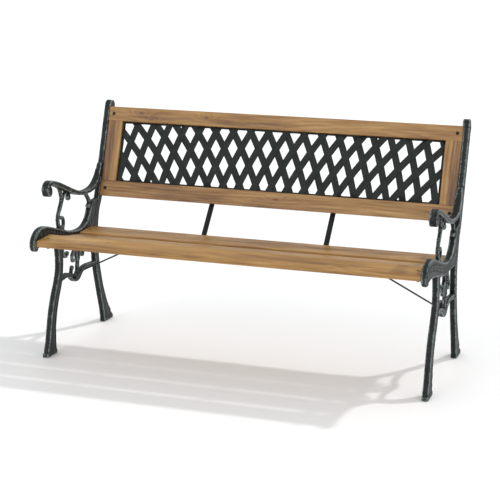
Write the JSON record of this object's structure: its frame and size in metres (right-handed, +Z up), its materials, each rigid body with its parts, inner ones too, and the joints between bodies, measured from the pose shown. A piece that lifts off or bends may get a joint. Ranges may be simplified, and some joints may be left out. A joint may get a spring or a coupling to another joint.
{
  "type": "garden bench",
  "caption": "Garden bench with cast scrollwork end frames, a dished slatted seat and a wooden back around a cast diagonal lattice panel.",
  "frame": {"origin": "on the ground, below the middle of the bench", "axes": "+X along the bench, -Y towards the sitter's feet (the front), +Z up"},
  "size_m": [1.209, 0.5973, 0.735],
  "materials": {
    "slat_wood": "oiled, satin",
    "back_wood": "oiled, satin",
    "casting": "painted dark green-grey with dry-brushed highlights",
    "lattice": "painted satin dark green",
    "strap": "satin black",
    "rod": "satin grey",
    "fixings": "zinc plated",
    "dowel_wood": "plain beech"
  },
  "bodies": {
    "root": {"end_frame_left": "casting", "end_frame_right": "casting", "seat_slat_front": "slat_wood", "seat_slat_mid_front": "slat_wood", "seat_slat_mid_rear": "slat_wood", "seat_slat_rear": "slat_wood", "back_bottom_rail": "back_wood", "back_top_rail": "back_wood", "back_stile_left": "back_wood", "back_stile_right": "back_wood", "back_frame_dowels": "dowel_wood", "lattice_panel": "lattice", "lattice_screws": "fixings", "back_strap_left": "strap", "back_strap_right": "strap", "strap_screws": "fixings", "stay_rod_left": "rod", "stay_rod_right": "rod", "stay_rod_screws": "fixings", "stay_rod_bolts": "fixings", "seat_bolts": "fixings", "seat_washers": "fixings", "seat_nuts": "fixings", "back_bolts": "fixings", "back_washers": "fixings", "back_nuts": "fixings"}
  },
  "joints": []
}
